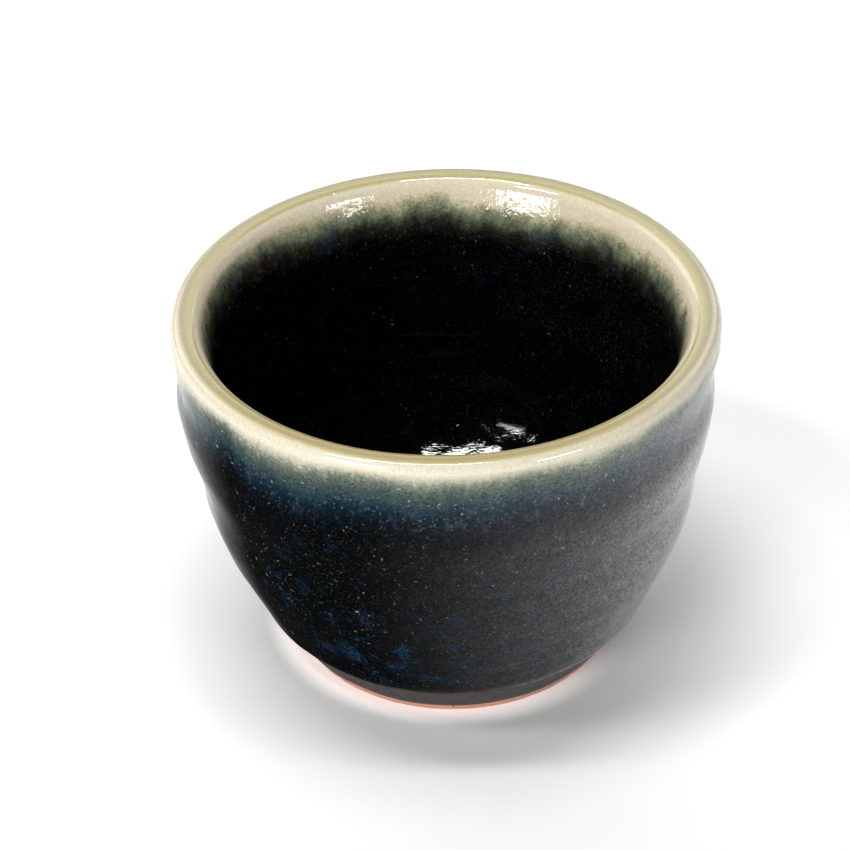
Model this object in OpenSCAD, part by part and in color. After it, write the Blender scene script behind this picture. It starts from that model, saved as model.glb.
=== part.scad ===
// Guinomi: a small wheel-thrown sake cup with a luted foot ring and three coats of glaze.
// The origin is on the table at the centre of the foot, and Z points up.

/* [Cup] */
// Diameter over the glazed lip
rim_d = 68; // [64:0.5:76]
// Height from the table to the crest of the lip
cup_h = 46.3; // [43:0.1:56]
// Thickness of the rolled lip, glaze included
lip_t = 3.4; // [3:0.1:4.4]
// Thickness of the wall below the lip, glaze included
wall_t = 4.6; // [3.8:0.1:5]
// Height over which the lip thickens inwards into the wall
bevel_h = 5; // [3:0.1:8]

/* [Outline of the wall] */
// Diameter where the wall leaves the turn above the foot
hip_d = 49.8; // [48:0.1:53]
// Height where the wall leaves the turn above the foot
hip_h = 6.7; // [6:0.1:9]
// Height of the turn itself, from its corner to the hip
hip_turn = 2.6; // [1.6:0.1:2.8]
// Diameter of the lower swelling
belly_d = 60.1; // [57:0.1:63]
// Height of the lower swelling
belly_h = 18.6; // [16:0.1:21]
// Diameter of the upper swelling
shoulder_d = 66.6; // [64:0.1:70]
// Drop from the crest of the lip to the upper swelling
shoulder_drop = 12.3; // [11:0.1:15]
// Diameter of the slight neck under the lip
neck_d = 66.5; // [64:0.1:70]
// Drop from the crest of the lip to the neck
neck_drop = 7.5; // [6:0.1:9]

/* [Throwing marks] */
// Depth of the finger groove between the two swellings
groove_depth = 0.5; // [0:0.05:0.9]
// Rise from the lower swelling to the middle of that groove
groove_rise = 6.8; // [5:0.1:9]
// Width of that groove
groove_w = 7; // [4:0.1:9]
// Height of one throwing ridge above the hollows beside it
ridge_depth = 0.14; // [0:0.02:0.4]
// Distance from one throwing ridge to the next
ridge_pitch = 5.2; // [4:0.1:8]

/* [Inside] */
// Height of the inner floor above the table, glaze included
floor_h = 7.8; // [7.2:0.1:9.5]
// Height over which the inner wall rounds into the floor
well_h = 16.5; // [12:0.5:20]

/* [Foot] */
// Diameter of the bare clay of the foot ring
foot_d = 42; // [40:0.1:43]
// Height of the foot ring up to the crease under the wall
foot_h = 3.45; // [3:0.05:4]
// Width of the foot ring from its outer to its inner side
foot_t = 4.4; // [3:0.1:6]
// Worn bevel at the edges that touch the table
foot_bevel = 0.4; // [0.2:0.05:0.8]
// How much the ring widens inwards towards its root
foot_draft = 0.7; // [0:0.1:1.4]
// Diameter of the low button that the trimming tool leaves under the floor
button_d = 9; // [5:0.5:14]
// Height of that button
button_h = 0.5; // [0.2:0.1:1]

/* [Glaze] */
// Thickness of the dark coats on the clay
glaze_t = 0.45; // [0.3:0.05:0.7]
// Thickness of the pale coat at the crest of the lip
pale_t = 0.22; // [0.1:0.02:0.28]
// How far the pale coat runs down outside from the crest
dip_out = 9; // [5:0.5:14]
// How far the pale coat runs down inside from the crest
dip_in = 9; // [5:0.5:14]
// Height of the bare clay line left above the table
bare_h = 1; // [0.8:0.05:1.6]

/* [Hidden] */
$fn = 96;

// How square the well inside and the lip are: 2 is an ellipse, and more is squarer
well_power_share = 2.4;
lip_power_share = 3;
// Share of the lip's rounding that lies above its inner edge
arris_share = 0.2;
// Numbers of points along each stretch of the outline
wall_rows = 44;
turn_rows = 5;
lip_rows = 20;
inner_rows = 24;
well_rows = 16;
button_rows = 6;

rim_r = rim_d / 2;
lip_r = lip_t / 2;
lip_h = cup_h - lip_r;
arris_h = cup_h - arris_share * lip_r;
crease_r = foot_d / 2 + glaze_t;
well_top = floor_h + well_h;
shoulder_h = cup_h - shoulder_drop;
neck_h = cup_h - neck_drop;
groove_h = belly_h + groove_rise;

// The wall passes through these levels, each given as its height and radius
levels = [
    [hip_h, hip_d / 2],
    [belly_h, belly_d / 2],
    [shoulder_h, shoulder_d / 2],
    [neck_h, neck_d / 2],
    [lip_h, rim_r]
];
last_level = len(levels) - 1;

// Rise of radius with height at each level, upright at the lip
function lean(i) =
    i == last_level ? 0
    : let (low = levels[max(i - 1, 0)], high = levels[i + 1])
      (high[1] - low[1]) / (high[0] - low[0]);

// Smooth curve between two levels
function span_r(i, z) =
    let (
        h = levels[i + 1][0] - levels[i][0],
        t = (z - levels[i][0]) / h,
        rise = t * t * (3 - 2 * t)
    )
    levels[i][1] * (1 - rise) + levels[i + 1][1] * rise
    + h * t * (1 - t) * ((1 - t) * lean(i) - t * lean(i + 1));

function level_under(z, i = 0) =
    i + 1 < last_level && z > levels[i + 1][0] ? level_under(z, i + 1) : i;

// Bell-shaped finger groove, and the throwing ridges, which fade out at the hip and at the lip
function groove(z) = groove_depth * exp(-pow(2 * (z - groove_h) / groove_w, 2));
function fade(z) = sin(180 * (z - hip_h) / (lip_h - hip_h));
function ridges(z) = ridge_depth / 2 * fade(z) * sin(360 * (z - hip_h) / ridge_pitch);

// Radius of the finished outer face at a height
function wall_r(z) = span_r(level_under(z), z) - groove(z) + ridges(z);

// Thickness of the wall at a height: it thickens inwards from the inner edge of the lip downwards
function thickness(z) =
    let (t = min(max((arris_h - z) / bevel_h, 0), 1))
    lip_t + (wall_t - lip_t) * t * (2 - t);

function along(low, high, i, n) = low + (high - low) * i / n;

// Outline of the finished cup, from the crease at the foot, over the lip, to the inner floor
crease = [crease_r, foot_h];
hip = [hip_d / 2, hip_h];
turn_corner = hip - hip_turn * [lean(0), 1];
turn_path = [
    for (i = [0 : turn_rows - 1])
        let (t = i / turn_rows)
        crease * (1 - t) * (1 - t) + turn_corner * 2 * t * (1 - t) + hip * t * t
];
wall_path = [
    for (i = [0 : wall_rows])
        let (z = along(hip_h, lip_h, i, wall_rows))
        [wall_r(z), z]
];
lip_path = [
    for (i = [1 : lip_rows - 1])
        let (
            a = along(0, 180, i, lip_rows),
            across = sign(cos(a)) * pow(abs(cos(a)), 2 / lip_power_share),
            z = lip_h + lip_r * pow(sin(a), 2 / lip_power_share),
            inner = across < 0 ? thickness(z) - lip_t : 0
        )
        [rim_r - lip_r + lip_r * across - inner, z]
];
inner_path = [
    for (i = [0 : inner_rows - 1])
        let (z = along(lip_h, well_top, i, inner_rows))
        [wall_r(z) - thickness(z), z]
];
well_path = [
    for (i = [0 : well_rows])
        let (
            a = along(90, 0, i, well_rows),
            z = well_top - well_h * pow(cos(a), 2 / well_power_share)
        )
        [(wall_r(max(z, hip_h)) - wall_t) * pow(sin(a), 2 / well_power_share), z]
];
face = concat(turn_path, wall_path, lip_path, inner_path, well_path);
face_end = len(face) - 1;
crest_i = turn_rows + wall_rows + lip_rows / 2;
crest_h = face[crest_i][1];

// Unit vector from each point of the outline into the clay
function inward(i) =
    i == face_end ? [0, -1]
    : let (
        ahead = face[i + 1] - face[max(i - 1, 0)],
        side = [-ahead[1], ahead[0]]
    )
    side / norm(side);

// Thickness of the pale coat at each point: full on the crest, nothing at its lower edges
function pale_depth(i) =
    let (
        reach = i < crest_i ? dip_out : dip_in,
        t = min((crest_h - face[i][1]) / reach, 1)
    )
    i > turn_rows + wall_rows + lip_rows + inner_rows ? 0 : pale_t * (1 - t * t);

under_pale = [for (i = [0 : face_end]) face[i] + inward(i) * pale_depth(i)];
clay_face = [for (i = [0 : face_end]) face[i] + inward(i) * (glaze_t + pale_depth(i))];

// Stretch of a path, and the same stretch run backwards
function part(path, from, to) = [for (i = [from : to]) path[i]];
function back(path, from, to) = [for (i = [to : -1 : from]) path[i]];

pale_out_i = max([for (i = [0 : crest_i]) if (pale_depth(i) == 0) i]);
pale_in_i = min([for (i = [crest_i : face_end]) if (pale_depth(i) == 0) i]);

foot_r = foot_d / 2;
foot_in_r = foot_r - foot_t;
root_in_r = foot_in_r - foot_draft;

// Thrown bowl of bare clay: floor, wall and the core of the lip
module clay_body()
    color("sienna")
        rotate_extrude()
            polygon(concat(
                [[0, foot_h - button_h]],
                [
                    for (i = [0 : button_rows])
                        let (a = along(0, 90, i, button_rows))
                        [button_d / 2 * (1 + sin(a)) / 2, foot_h - button_h * cos(a)]
                ],
                [[foot_r, foot_h]],
                clay_face
            ));

// Foot ring luted under the bowl, bevelled where it meets the table
module foot_ring()
    color("lightsalmon")
        rotate_extrude()
            polygon([
                [foot_in_r + foot_bevel, 0],
                [foot_r - foot_bevel, 0],
                [foot_r, foot_bevel],
                [foot_r, foot_h],
                [root_in_r, foot_h],
                [foot_in_r, foot_bevel]
            ]);

// Dark coat poured inside, from the crest of the lip to the middle of the floor
module inner_glaze()
    color([0.03, 0.04, 0.05])
        rotate_extrude()
            polygon(concat(
                part(under_pale, crest_i, face_end),
                back(clay_face, crest_i, face_end)
            ));

// Dark coat outside, from the crest down over the wall and the foot to the bare clay line
module outer_glaze()
    color([0.06, 0.12, 0.2])
        rotate_extrude()
            polygon(concat(
                [[foot_r, foot_h], [foot_r, bare_h], [crease_r, bare_h + glaze_t / 2]],
                part(under_pale, 0, crest_i),
                back(clay_face, 0, crest_i)
            ));

// Pale ash coat in which the lip was dipped, over the ends of both dark coats
module pale_rim_glaze()
    color([0.84, 0.82, 0.66])
        rotate_extrude()
            polygon(concat(
                part(face, pale_out_i, pale_in_i),
                back(under_pale, pale_out_i + 1, pale_in_i - 1)
            ));

clay_body();
foot_ring();
inner_glaze();
outer_glaze();
pale_rim_glaze();
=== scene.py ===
import math

import bpy
import numpy as np
from mathutils import Matrix, Vector


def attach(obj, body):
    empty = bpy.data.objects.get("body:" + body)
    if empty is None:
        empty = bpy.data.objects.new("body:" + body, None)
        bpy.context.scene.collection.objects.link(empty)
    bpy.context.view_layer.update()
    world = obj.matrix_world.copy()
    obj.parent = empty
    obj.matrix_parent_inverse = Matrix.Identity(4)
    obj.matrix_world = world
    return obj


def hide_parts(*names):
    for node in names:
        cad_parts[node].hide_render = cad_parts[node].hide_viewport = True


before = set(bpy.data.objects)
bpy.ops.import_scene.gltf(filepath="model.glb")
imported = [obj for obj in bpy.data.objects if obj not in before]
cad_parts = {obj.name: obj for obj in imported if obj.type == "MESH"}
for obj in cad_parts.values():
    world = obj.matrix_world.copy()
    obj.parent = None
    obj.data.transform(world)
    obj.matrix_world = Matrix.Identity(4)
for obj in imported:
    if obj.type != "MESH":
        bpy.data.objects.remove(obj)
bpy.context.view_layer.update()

MM = 0.001
TURN = 2 * math.pi


# Sizes, in millimetres

# Lip and wall. The lip is a little rounder than the solids', which widens the highlights on its near side.
RIM_R, CUP_H, LIP_T, WALL_T, BEVEL_H, LIP_POWER = 34.0, 46.3, 3.4, 4.6, 5.0, 2.6
ARRIS_SHARE = 0.2
LIP_R = LIP_T / 2
LIP_H = CUP_H - LIP_R
ARRIS_H = CUP_H - ARRIS_SHARE * LIP_R

# Radius and height of the turn above the foot, the two swellings and the neck under the lip
HIP_R, HIP_H, HIP_TURN = 24.9, 6.7, 2.6
BELLY_R, BELLY_H = 30.05, 18.6
SHOULDER_R, SHOULDER_H = 33.3, CUP_H - 12.3
NECK_R, NECK_H = 33.25, CUP_H - 7.5
LEVELS = [(HIP_H, HIP_R), (BELLY_H, BELLY_R), (SHOULDER_H, SHOULDER_R), (NECK_H, NECK_R), (LIP_H, RIM_R)]

# Finger groove between the swellings, and the throwing ridges
GROOVE_DEPTH, GROOVE_H, GROOVE_W = 0.5, BELLY_H + 6.8, 7.0
RIDGE_DEPTH, RIDGE_PITCH = 0.14, 5.2

# Well inside, foot ring, button under the floor, and coats
FLOOR_H, WELL_H, WELL_POWER = 7.8, 16.5, 2.4
WELL_TOP = FLOOR_H + WELL_H
FOOT_R, FOOT_H, FOOT_T, FOOT_BEVEL, FOOT_DRAFT = 21.0, 3.45, 4.4, 0.4, 0.7
FOOT_IN_R = FOOT_R - FOOT_T
BUTTON_R, BUTTON_H = 4.5, 0.5
GLAZE_T, PALE_T, PALE_REACH, BARE_H = 0.45, 0.22, 9.0, 1.0

# Attribute with the length along the face from the crest, above zero outside and below zero inside
RUN = "run"

# Numbers of points of the outline, and of columns and rows of the meshes
TURN_POINTS, WALL_POINTS, LIP_POINTS, INNER_POINTS, WELL_POINTS = 24, 400, 600, 200, 400
COLUMNS = 480
FOOT_ROWS, WALL_ROWS, LIP_ROWS, WELL_ROWS, BACK_ROWS = 12, 72, 34, 90, 40
BOWL_ROWS, BUTTON_ROWS, UNDER_ROWS = 160, 14, 70
TREAD_ROWS, SIDE_ROWS, ROOT_ROWS = 14, 10, 6

# Turns in degrees of the points that round the worn bevel, and the sharpest turn that is shaded smooth
BEVEL_TURNS = (-60, -30)
SHARP_ANGLE = math.radians(55)

ANGLE = np.linspace(0, TURN, COLUMNS, endpoint=False)[None, :]


# Profile of the cup

def smooth(t):
    """Smooth step from 0 to 1."""
    t = np.clip(t, 0, 1)
    return t * t * (3 - 2 * t)


def lean(i):
    """Rise of radius with height at a level, upright at the lip."""
    if i == len(LEVELS) - 1:
        return 0.0
    low, high = LEVELS[max(i - 1, 0)], LEVELS[i + 1]
    return (high[1] - low[1]) / (high[0] - low[0])


def wall_radius(z):
    """Radius of the outer face, with its finger groove and without the throwing ridges."""
    z = np.asarray(z, float)
    out = np.zeros_like(z)
    for i in range(len(LEVELS) - 1):
        (z0, r0), (z1, r1) = LEVELS[i], LEVELS[i + 1]
        h = z1 - z0
        t = (z - z0) / h
        rise = t * t * (3 - 2 * t)
        bend = h * t * (1 - t) * ((1 - t) * lean(i) - t * lean(i + 1))
        here = (z >= z0) if i else np.ones_like(z, bool)
        out = np.where(here, r0 * (1 - rise) + r1 * rise + bend, out)
    return out - GROOVE_DEPTH * np.exp(-((2 * (z - GROOVE_H) / GROOVE_W) ** 2))


def thickness(z):
    """Thickness of the wall, which grows at once below the inner arris of the lip."""
    t = np.clip((ARRIS_H - z) / BEVEL_H, 0, 1)
    return LIP_T + (WALL_T - LIP_T) * t * (2 - t)


def outline():
    """The finished face from the crease over the foot, over the lip, to the middle of the inner floor."""
    crease, hip = np.array([FOOT_R + GLAZE_T, FOOT_H]), np.array([HIP_R, HIP_H])
    corner = hip - HIP_TURN * np.array([lean(0), 1.0])
    t = np.linspace(0, 1, TURN_POINTS, endpoint=False)[:, None]
    turn = crease * (1 - t) ** 2 + corner * 2 * t * (1 - t) + hip * t ** 2

    z = np.linspace(HIP_H, LIP_H, WALL_POINTS)
    wall = np.stack([wall_radius(z), z], 1)

    a = np.linspace(0, math.pi, LIP_POINTS + 1)[1:-1]
    across, up = np.cos(a), np.sin(a) ** (2 / LIP_POWER)
    across = np.sign(across) * np.abs(across) ** (2 / LIP_POWER)
    lip = np.stack([RIM_R - LIP_R + LIP_R * across, LIP_H + LIP_R * up], 1)
    lip[:, 0] -= np.where(across < 0, thickness(lip[:, 1]) - LIP_T, 0)

    z = np.linspace(LIP_H, WELL_TOP, INNER_POINTS, endpoint=False)
    inner = np.stack([wall_radius(z) - thickness(z), z], 1)

    a = np.linspace(math.pi / 2, 0, WELL_POINTS)
    z = WELL_TOP - WELL_H * np.cos(a) ** (2 / WELL_POWER)
    r = (wall_radius(np.maximum(z, HIP_H)) - WALL_T) * np.sin(a) ** (2 / WELL_POWER)
    return np.concatenate([turn, wall, lip, inner, np.stack([r, z], 1)])


def inward(face, steps):
    """Unit vector from each point of the outline into the clay."""
    along = np.gradient(face, steps, axis=0)
    way = np.stack([-along[:, 1], along[:, 0]], 1)
    way /= np.linalg.norm(way, axis=1)[:, None]
    way[-1] = (0, -1)
    return way


FACE = outline()
STEPS = np.concatenate([[0], np.cumsum(np.hypot(*np.diff(FACE, axis=0).T))])
CREST = STEPS[np.argmax(FACE[:, 1])]
END = STEPS[-1]
INWARD = inward(FACE, STEPS)


def on_face(s):
    """Radius, height and inward direction at a length along the outline."""
    return [np.interp(s, STEPS, column) for column in (*FACE.T, *INWARD.T)]


def length_at(depth, outside):
    """Length along the outline where the face lies so far below the crest."""
    part = STEPS <= CREST if outside else STEPS >= CREST
    z, s = FACE[part, 1], STEPS[part]
    order = np.argsort(z)
    return np.interp(CUP_H - depth, z[order], s[order])


# Irregularities of a hand-made cup

# Number of waves in a lumpy field, and its lowest and highest wave number against the middle one
WAVE_COUNT, WAVE_SPREAD = 28, (0.6, 1.4)

# Throwing ridges: the share of their depth that the scene keeps, how far slow waves bend them, their usual
# strength and how much it varies, and size and seed of those waves
RIDGE_SHARE, RIDGE_BEND, RIDGE_USUAL, RIDGE_VARY, SLOW_WAVES = 0.6, 0.12, 0.9, 0.35, (26, 3)

# Fine ridges on them: depth, number to each large one, bend, how much they vary, and waves of that
FINE_DEPTH, FINE_TURNS, FINE_BEND, FINE_VARY, FINE_WAVES = 0.010, 4.3, 0.5, 0.6, (14, 5)

# Lumps of the thrown wall, as height, size and seed
LUMPS = [(0.032, 9, 7), (0.010, 3.2, 11)]

# From this height on, over so much, the relief loses this share and the face sinks by so much
LIP_FROM, LIP_OVER, LIP_SMOOTH, LIP_SINK = 42.5, 2.5, 0.8, 0.05

# Sideways drift of the thrown wall off the axis of the lip, as height and shift
SWAY = [(0, 0.45), (7, 0.42), (18, 0.2), (28, 0.06), (35, -0.17), (41, -0.08), (CUP_H, 0)]

# Share by which the foot is narrower from side to side than from front to back, and power of how that fades
FOOT_OVAL, OVAL_POWER = 0.05, 1.5

# Dip of the crest: depth, height where it starts, over so much, and its seed and numbers of waves
DIP, DIP_FROM, DIP_OVER, DIP_WAVES = 0.07, 30, 16, (31, (2, 3, 4))

# How much further than usual the pale coat ran down, as degrees from the front and millimetres
COURSE_OUT = [
    (-180, 0.2), (-130, -0.3), (-90, 0.5), (-70, 0.3), (-60, -0.6), (-52, -1.8), (-45, 0.1), (-38, 0.2),
    (-28, 0.0), (-18, -0.6), (-8, 0.1), (5, 0.2), (18, -0.7), (30, 0.0), (42, 0.0), (52, -0.6), (62, 0.0),
    (90, 0.0), (130, 0.4), (180, 0.2),
]
COURSE_IN = [
    (-180, -0.5), (-170, -0.5), (-160, -0.1), (-150, -0.1), (-140, -0.2), (-130, -1.0), (-110, -1.6),
    (-80, -1.0), (-40, 0.1), (0, -0.5), (50, 0.2), (90, -0.5), (110, -0.1), (120, -0.2), (130, 0.5),
    (140, 0.7), (150, 1.2), (160, 1.0), (170, 1.0), (176, 0.2), (180, -0.4),
]

# That course starts so far from the crest and is full after so much more
COURSE_FROM, COURSE_OVER = 1.5, 3

# Ends of the pale coat: size and numbers of its wide and of its short runs, their seeds outside and inside,
# and the furthest that they go up and down
WIDE_RUNS, WIDE_NUMBERS = 0.7, (2, 3, 4, 7)
SHORT_RUNS, SHORT_NUMBERS = 0.35, (17, 23, 31, 44, 59)
OUT_SEEDS, IN_SEEDS, RUN_LIMITS = (21, 23), (22, 24), (-1.6, 2.0)

# Line where the outer coat stops above the table: its waves, with their seed and numbers, the roll over it
# as thickness, height and width, and how much and how far up the coat thins towards it
LINE_SWING, LINE_WAVES = 0.16, (41, (2, 5, 9, 14))
ROLL_T, ROLL_UP, ROLL_W, THIN_SHARE, THIN_UP = 0.14, 0.45, 0.4, 0.75, 0.35

# Length over which the relief sets in above the crease
RELIEF_IN = 1.5

# Lumps of that roll, of the trimmed underside and of the worn side of the foot, as height, size and seed
ROLL_LUMPS, TRIM_LUMPS, SIDE_WEAR = (0.03, 4, 43), (0.02, 2.5, 51), (0.04, 3, 67)

# Trimming rings under the floor: where they start, depth and pitch
TRIM_FROM, TRIM_DEPTH, TRIM_PITCH = 0.3, 0.05, 1.6

# Wear of the tread, as height, size and seed, and how far up it and the wear of the side reach
TREAD_WEAR, TREAD_WEAR_H, SIDE_WEAR_H = [(0.03, 5, 61), (0.015, 1.3, 63)], 1.2, 2.0


def waves(x, y, z, size, seed):
    """Seamless lumpy field in space, with lumps of about that size and values of about one."""
    rng = np.random.default_rng(seed)
    way = rng.normal(size=(WAVE_COUNT, 3))
    number = (TURN / size) * rng.uniform(*WAVE_SPREAD, WAVE_COUNT)[:, None]
    way *= number / np.linalg.norm(way, axis=1)[:, None]
    shift = rng.uniform(0, TURN, WAVE_COUNT)
    total = 0
    for (kx, ky, kz), p in zip(way, shift):
        total = total + np.cos(kx * x + ky * y + kz * z + p)
    return total / math.sqrt(WAVE_COUNT / 2)


def lump(x, y, z, height, size, seed):
    """The same field with lumps of that height."""
    return height * waves(x, y, z, size, seed)


def round_noise(seed, numbers):
    """A value of about one that drifts round the cup, in so many waves."""
    rng = np.random.default_rng(seed)
    parts = (np.cos(n * ANGLE + rng.uniform(0, TURN)) / math.sqrt(n) for n in numbers)
    return sum(parts) / len(numbers) ** 0.5


def relief(s):
    """Height of the finished face above the plain outline."""
    r, z, _, _ = on_face(s)
    x, y = r * np.cos(ANGLE), r * np.sin(ANGLE)
    fade = np.sin(math.pi * np.clip((z - HIP_H) / (LIP_H - HIP_H), 0, 1))
    slow = waves(x, y, z, *SLOW_WAVES)
    turns = (z - HIP_H) / RIDGE_PITCH + ANGLE / TURN
    ridge = RIDGE_DEPTH / 2 * fade * np.sin(TURN * (turns + RIDGE_BEND * slow))
    ridge = ridge * (RIDGE_USUAL + RIDGE_VARY * slow)
    fine = FINE_DEPTH * fade * np.sin(TURN * (turns * FINE_TURNS + FINE_BEND * slow))
    fine = fine * (1 + FINE_VARY * waves(x, y, z, *FINE_WAVES))
    lumps = sum(lump(x, y, z, *layer) for layer in LUMPS)
    near_lip = smooth((z - LIP_FROM) / LIP_OVER)
    return (RIDGE_SHARE * ridge + fine + lumps) * (1 - LIP_SMOOTH * near_lip) - LIP_SINK * near_lip


def course(s, table):
    """Length from the crest as the coats run, stretched or shortened round the cup."""
    run = CREST - s
    front = (np.degrees(ANGLE) + 270) % 360 - 180
    more = np.interp(front, *zip(*table)) * smooth((np.abs(run) - COURSE_FROM) / COURSE_OVER)
    return np.sign(run) * np.maximum(np.abs(run) - more, 0)


def pale_edge(wide_seed, short_seed):
    """How far the pale coat runs down, round the cup: it ends in short runs."""
    runs = WIDE_RUNS * round_noise(wide_seed, WIDE_NUMBERS)
    runs = runs + SHORT_RUNS * round_noise(short_seed, SHORT_NUMBERS)
    return PALE_REACH + np.clip(runs, *RUN_LIMITS)


def pale_depth(s, reach):
    """Thickness of the pale coat, full on the crest and nothing at its edge."""
    _, z, _, _ = on_face(s)
    t = np.clip((CUP_H - z) / reach, 0, 1)
    return PALE_T * (1 - t * t)


def place(r, z):
    """Points of the cup, in metres, from radius and height: a little oval at the foot, uneven at the lip."""
    oval = 1 - FOOT_OVAL * np.clip(1 - z / HIP_H, 0, 1) ** OVAL_POWER
    lift = -DIP * (1 + round_noise(*DIP_WAVES)) * smooth((z - DIP_FROM) / DIP_OVER)
    x = oval * r * np.cos(ANGLE) + np.interp(z, *zip(*SWAY))
    y = r * np.sin(ANGLE) + 0 * z
    return np.stack(np.broadcast_arrays(x, y, z + lift), -1) * MM


# Meshes

def mesh_object(name, points, faces, material, run=None):
    """Smooth piece with its material, and with the length along the face at each of its points."""
    mesh = bpy.data.meshes.new(name)
    mesh.from_pydata(points, [], faces)
    if run is not None:
        mesh.attributes.new(RUN, "FLOAT", "POINT").data.foreach_set("value", np.asarray(run, np.float32))
    mesh.update()
    for polygon in mesh.polygons:
        polygon.use_smooth = True
    mesh.set_sharp_from_angle(angle=SHARP_ANGLE)
    mesh.materials.append(material)
    piece = bpy.data.objects.new(name, mesh)
    bpy.context.scene.collection.objects.link(piece)
    return piece


def revolve(name, grid, ring, material, run=None):
    """Closed mesh from rows of points round the cup. A ring joins its last row to its first, and
    anything else closes on the axis at both ends."""
    rows, columns = grid.shape[:2]
    if run is not None:
        run = np.broadcast_to(run, (rows, columns))
        run = np.concatenate([run.ravel()] + ([] if ring else [run[:1, 0], run[-1:, 0]]))
    points = grid.reshape(-1, 3).tolist()
    i = np.arange(columns)
    ahead = (i + 1) % columns
    faces = []
    for low in range(rows if ring else rows - 1):
        a, b = low * columns, (low + 1) % rows * columns
        faces += np.stack([a + i, a + ahead, b + ahead, b + i], 1).tolist()
    if not ring:
        for end in (0, rows - 1):
            centre = len(points)
            points.append(grid[end].mean(0).tolist())
            edge = np.stack([end * columns + i, end * columns + ahead], 1).tolist()
            faces += [[a, b, centre] if end else [b, a, centre] for a, b in edge]
    return mesh_object(name, points, faces, material, run)


def layer(s, inset, height=0.0):
    """Rows of points on the face, set in by so much and raised by so much."""
    r, z, ir, iz = on_face(s)
    move = inset - height
    return place(r + ir * move, z + iz * move)


def span(low, high, rows, last=True):
    """Rows of lengths from one edge to another, round the cup."""
    t = np.linspace(0, 1, rows, endpoint=last)[:, None]
    return low + (high - low) * t


def back_rows(low, high, rows):
    """Rows at even lengths, the same all round the cup."""
    return np.repeat(np.linspace(low, high, rows)[:, None], COLUMNS, 1)


def even_row(value):
    """One row round the cup at the same value."""
    return np.full((1, COLUMNS), value)


OUT_REACH, IN_REACH = pale_edge(*OUT_SEEDS), pale_edge(*IN_SEEDS)
OUT_EDGE, IN_EDGE = length_at(OUT_REACH, True), length_at(IN_REACH, False)
ON_OUT = np.concatenate([span(0.0, OUT_EDGE, WALL_ROWS, False), span(OUT_EDGE, CREST, LIP_ROWS)])
ON_IN = np.concatenate([span(CREST, IN_EDGE, LIP_ROWS, False), span(IN_EDGE, END, WELL_ROWS)])


def outer_coat(material):
    """Dark coat outside, with a soft roll of glaze where it stops above the table."""
    front = layer(ON_OUT, pale_depth(ON_OUT, OUT_REACH), relief(ON_OUT) * smooth(ON_OUT / RELIEF_IN))
    bare = BARE_H + LINE_SWING * round_noise(*LINE_WAVES)
    t = np.linspace(0, 1, FOOT_ROWS)[:, None]
    z = bare + (FOOT_H - bare) * t
    thinning = GLAZE_T * THIN_SHARE * (1 - smooth((z - bare) / THIN_UP))
    roll = ROLL_T * np.exp(-((z - bare - ROLL_UP) / ROLL_W) ** 2) - thinning
    lumps = lump(FOOT_R * np.cos(ANGLE), FOOT_R * np.sin(ANGLE), z, *ROLL_LUMPS) * np.sin(math.pi * t)
    side = place(FOOT_R + GLAZE_T + roll + lumps, z)[:-1]
    b = back_rows(CREST, 0.0, BACK_ROWS)
    back = layer(b, GLAZE_T + pale_depth(b, PALE_REACH))
    edge, root = place(even_row(FOOT_R), bare), place(even_row(FOOT_R), even_row(FOOT_H))
    grid = np.concatenate([edge, side, front, back, root])
    low = even_row(CREST + FOOT_H - BARE_H)
    foot = CREST + FOOT_H - z[:-1]
    run = np.concatenate([low, foot, course(ON_OUT, COURSE_OUT), course(b, COURSE_OUT), low])
    return revolve("outer_coat", grid, True, material, run)


def inner_coat(material):
    """Dark coat inside, from the crest to the middle of the floor."""
    s = ON_IN[:-1]
    front = layer(s, pale_depth(s, IN_REACH), relief(s))
    b = back_rows(END, CREST, BACK_ROWS)[1:]
    back = layer(b, GLAZE_T + pale_depth(b, PALE_REACH))
    run = course(np.concatenate([s[::-1], b[::-1]]), COURSE_IN)
    return revolve("inner_coat", np.concatenate([front[::-1], back[::-1]]), False, material, run)


def rim_coat(material):
    """Pale ash coat over the lip, running out to nothing in short runs."""
    s = np.concatenate([span(OUT_EDGE, CREST, LIP_ROWS), span(CREST, IN_EDGE, LIP_ROWS)[1:]])
    reach = np.concatenate([np.repeat(OUT_REACH, LIP_ROWS, 0), np.repeat(IN_REACH, LIP_ROWS - 1, 0)])
    height = relief(s)
    front = layer(s, 0.0, height)
    back = layer(s, pale_depth(s, reach), height)[-2:0:-1]
    s = np.concatenate([s, s[-2:0:-1]])
    run = np.where(s < CREST, course(s, COURSE_OUT), course(s, COURSE_IN))
    return revolve("rim_coat", np.concatenate([front, back]), True, material, run)


def clay_bowl(material):
    """Bare thrown bowl under the coats, with trimming rings and a low button under its floor."""
    button = np.linspace(TRIM_FROM, BUTTON_R, BUTTON_ROWS)
    r = np.concatenate([button, np.linspace(BUTTON_R, FOOT_R, UNDER_ROWS)[1:]])[:, None]
    z = FOOT_H - BUTTON_H * np.cos(np.arcsin(np.clip(r / BUTTON_R * 2 - 1, 0, 1)))
    rings = TRIM_DEPTH * np.sin(TURN * (r / TRIM_PITCH + ANGLE / TURN))
    rings = rings + lump(r * np.cos(ANGLE), r * np.sin(ANGLE), 0, *TRIM_LUMPS)
    z = z - np.abs(rings) * smooth(FOOT_IN_R - r)
    s = back_rows(0.0, END, BOWL_ROWS)[:-1]
    top = layer(s, GLAZE_T + pale_depth(s, PALE_REACH))
    return revolve("clay_bowl", np.concatenate([place(r, z), top]), False, material)


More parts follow.
